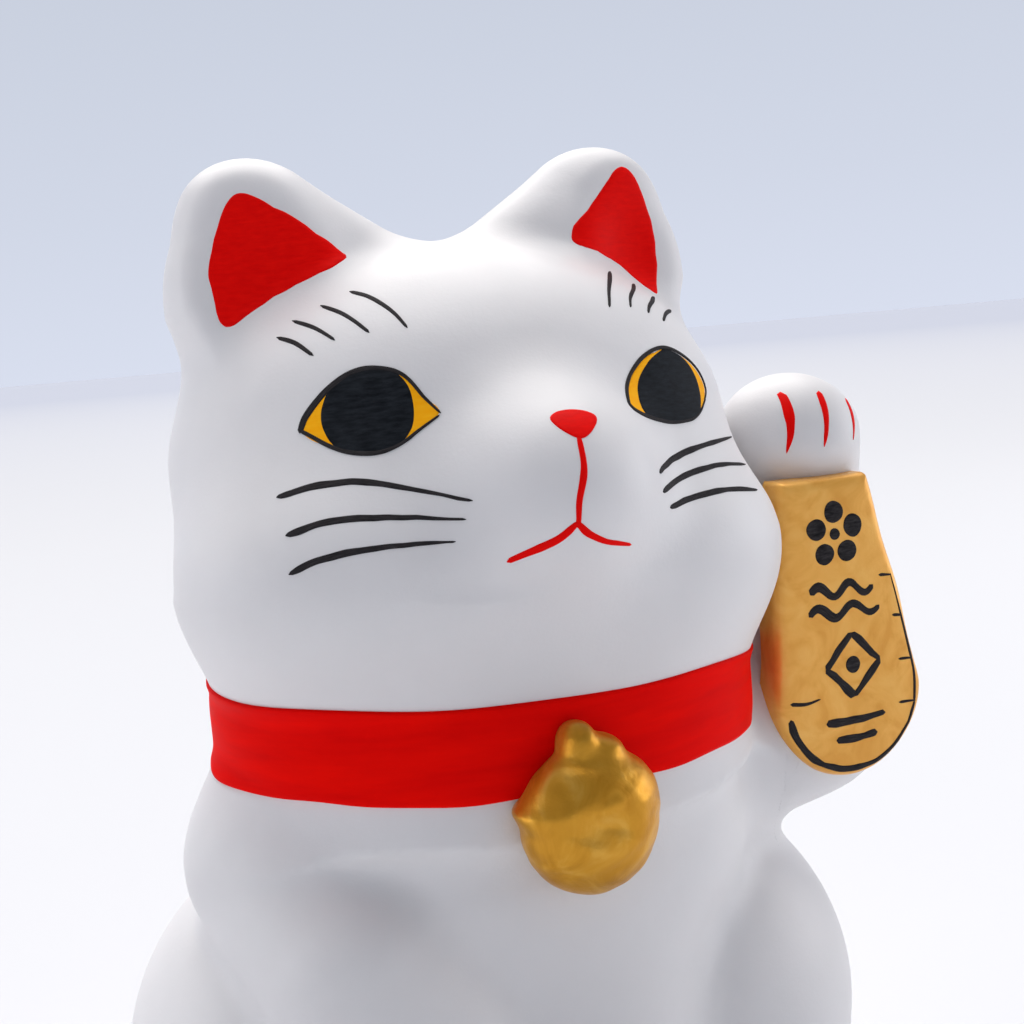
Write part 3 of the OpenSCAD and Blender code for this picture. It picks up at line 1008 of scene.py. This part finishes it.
def paint_plaque_rim():
    """Ink line that follows the foot of the plaque and runs thin up its outer side."""
    angles = np.radians(np.linspace(190, 345, 14))
    reach = PLAQUE_R - 1.2
    foot = [(PLAQUE_X + reach * math.cos(a), PLAQUE_Z + reach * math.sin(a)) for a in angles]
    rise = [on_rim(height, 1.1) for height in (2, 8, 15)]
    parts = [
        stroke(on_plaque, foot, 0.85, 0.9, 0.5, 0.09, 0.08),
        stroke(on_plaque, [foot[-1]] + rise, 0.45, 0.9, 0.1, 0.08, 0.05),
    ]
    for height, length in ((15, 2.1), (9.4, 1.6), (3.4, 2.3), (-2.4, 2.9)):
        x, z = on_rim(height, 1)
        tick = [(x - length, z + 0.1), (x - length / 2, z), (x, z - 0.15)]
        parts.append(stroke(on_plaque, tick, 0.42, 0.5, 0.6, 0.08, 0.04))
    x = PLAQUE_X - reach + 0.2
    tick = [(x, PLAQUE_Z + 0.3), (x + 2.2, PLAQUE_Z), (x + 4.4, PLAQUE_Z + 0.3)]
    parts.append(stroke(on_plaque, tick, 0.5, 1, 0.4, 0.08, 0.04))
    paint("plaque_rim_ink", parts, BLACK_INK)


def dab(x, z, radius):
    """Round touch of the brush on the plaque."""
    turn = np.linspace(0, 2 * math.pi, 9)[:-1]
    ring = [(x + radius * math.cos(a), z + radius * math.sin(a)) for a in turn]
    return patch(on_plaque, ring, 0.09, 0.07, 0.25)


def bar(*points):
    return stroke(on_plaque, points, 1.1, 0.75, 0.65, 0.09, 0.08)


def paint_plaque_marks():
    """Plain brushed ornament: a blossom of dabs, waves, a lozenge and bars."""
    z = PLAQUE_Z + 21.3
    x = float(plaque_middle(z))
    parts = [dab(x, z, 0.75)]
    for k in range(5):
        a = math.radians(90 + 72 * k)
        parts.append(dab(x + 2.9 * math.cos(a), z + 2.9 * math.sin(a), 1.45))
    for row, half in ((14, 4.8), (11.2, 5.4)):
        x = float(plaque_middle(PLAQUE_Z + row))
        share = np.linspace(0, 1, 17)
        z = PLAQUE_Z + row
        wave = [(x + half * (2 * t - 1), z + 0.8 * math.sin(4 * math.pi * t)) for t in share]
        parts.append(bar(*wave))
    x, z = PLAQUE_X, PLAQUE_Z + 4
    ring = [(x - 4.2, z), (x, z + 4.2), (x + 4.2, z), (x, z - 4.2), (x - 4.2, z)]
    for a, b in zip(ring, ring[1:]):
        parts.append(bar(a, ((a[0] + b[0]) / 2, (a[1] + b[1]) / 2), b))
    parts.append(dab(x, z, 1.1))
    for row, half in ((-3.4, 4.6), (-5.8, 3.2)):
        z = PLAQUE_Z + row
        parts.append(bar((x - half, z + 0.2), (x, z), (x + half, z + 0.2)))
    paint("plaque_marks_ink", parts, BLACK_INK)


make_torso()
make_head()
make_arm()
make_tail()
make_collar()
make_bell()
make_plaque()
make_stopper()
paint_ears()
paint_eyes()
paint_brows()
paint_whiskers()
paint_muzzle()
paint_claws()
paint_plaque_rim()
paint_plaque_marks()

# ---------------------------------------------------------------- camera, light and floor

CAMERA_AZIMUTH = math.radians(-22)
CAMERA_RISE = math.radians(7)
CAMERA_ROLL = math.radians(4.9)
CAMERA_AWAY = 180.0
CAMERA_LENS = 49.64
AIM_SIDE = 3.95
AIM_UP = 24.35


def place_camera():
    a, e = CAMERA_AZIMUTH, CAMERA_RISE
    ahead = vec(-math.sin(a) * math.cos(e), math.cos(a) * math.cos(e), -math.sin(e))
    side = vec(math.cos(a), math.sin(a), 0)
    up = np.cross(side, ahead)
    c, s = math.cos(CAMERA_ROLL), math.sin(CAMERA_ROLL)
    side, up = side * c - up * s, up * c + side * s
    aim = vec(0, 0, NECK_Z - 2) + side * AIM_SIDE + up * AIM_UP
    at = (aim - ahead * CAMERA_AWAY + AXIS) * MM
    camera = bpy.data.objects.new("camera", bpy.data.cameras.new("camera"))
    camera.data.lens = CAMERA_LENS
    camera.data.sensor_width = 36
    camera.data.clip_start = 0.01
    turn = Matrix((side, up, -ahead)).transposed().to_4x4()
    camera.matrix_world = Matrix.Translation(Vector(at)) @ turn
    bpy.context.scene.collection.objects.link(camera)
    bpy.context.scene.camera = camera


def softbox(name, at, width, power, colour):
    """Square light that faces the middle of the figure."""
    light = bpy.data.lights.new(name, "AREA")
    light.shape = "SQUARE"
    light.size = width
    light.energy = power
    light.color = colour
    lamp = bpy.data.objects.new(name, light)
    lamp.location = at
    aim = Vector((0, 0, 0.07)) - Vector(at)
    lamp.rotation_euler = aim.to_track_quat("-Z", "Y").to_euler()
    bpy.context.scene.collection.objects.link(lamp)


def light_scene():
    sun = bpy.data.lights.new("overhead", "SUN")
    sun.energy = 3.4
    sun.angle = math.radians(65)
    sun.color = (1, 0.965, 0.93)
    lamp = bpy.data.objects.new("overhead", sun)
    lamp.rotation_euler = (math.radians(-26), math.radians(4), 0)
    bpy.context.scene.collection.objects.link(lamp)
    softbox("fill", (0.85, -0.15, 0.16), 0.6, 2.5, (1, 0.98, 0.97))
    softbox("left_fill", (-0.8, 0.25, 0.16), 0.5, 1.3, (1, 0.98, 0.98))
    softbox("top_fill", (0.0, 0.0, 0.9), 0.3, 0.5, (1, 0.98, 0.96))
    world = bpy.data.worlds.new("studio")
    world.use_nodes = True
    tree = world.node_tree
    coordinate = tree.nodes.new("ShaderNodeTexCoord")
    parts = tree.nodes.new("ShaderNodeSeparateXYZ")
    ramp = tree.nodes.new("ShaderNodeValToRGB")
    tree.links.new(coordinate.outputs["Generated"], parts.inputs["Vector"])
    tree.links.new(parts.outputs["Z"], ramp.inputs["Fac"])
    dim = tree.nodes.new("ShaderNodeMapRange")
    tree.links.new(parts.outputs["Y"], dim.inputs["Value"])
    for socket, value in (("From Min", -0.8), ("From Max", 0.1), ("To Min", 0.80), ("To Max", 1)):
        dim.inputs[socket].default_value = value
    tree.links.new(ramp.outputs["Color"], tree.nodes["Background"].inputs["Color"])
    tree.links.new(dim.outputs["Result"], tree.nodes["Background"].inputs["Strength"])
    stops = (
        (0, (0.69, 0.735, 0.86)),
        (0.1, (0.64, 0.685, 0.80)),
        (0.24, (0.59, 0.635, 0.74)),
        (0.36, (0.35, 0.37, 0.42)),
        (1, (0.26, 0.27, 0.30)),
    )
    elements = ramp.color_ramp.elements
    for place, _ in stops[1:-1]:
        elements.new(place)
    for element, (place, colour) in zip(elements, stops):
        element.position = place
        element.color = (*colour, 1)
    bpy.context.scene.world = world


def lay_floor():
    """Wide pale floor, a little greyer far away, which is painted shade for the light falling off in the
    distance.
    """
    n = Nodes("floor_painted_falloff")
    away = n.add("ShaderNodeVectorMath", operation="LENGTH")
    n.link(n.place(), away.inputs[0])
    share = n.spread(away.outputs["Value"], 0, 10, 0, 1)
    # Colour ramp by distance: painted shade, darker far away where the studio light falls off
    n.colours(share, (0.08, (0.65, 0.66, 0.69)), (0.2, (0.615, 0.63, 0.675)), (0.7, (0.49, 0.52, 0.61)))
    mesh = bpy.data.meshes.new("floor")
    mesh.from_pydata([(-30, -30, 0), (30, -30, 0), (30, 30, 0), (-30, 30, 0)], [], [(0, 1, 2, 3)])
    mesh.materials.append(n.done(Roughness=0.9))
    floor = bpy.data.objects.new("floor", mesh)
    bpy.context.scene.collection.objects.link(floor)


place_camera()
light_scene()
lay_floor()
bpy.context.scene.view_settings.view_transform = "Standard"
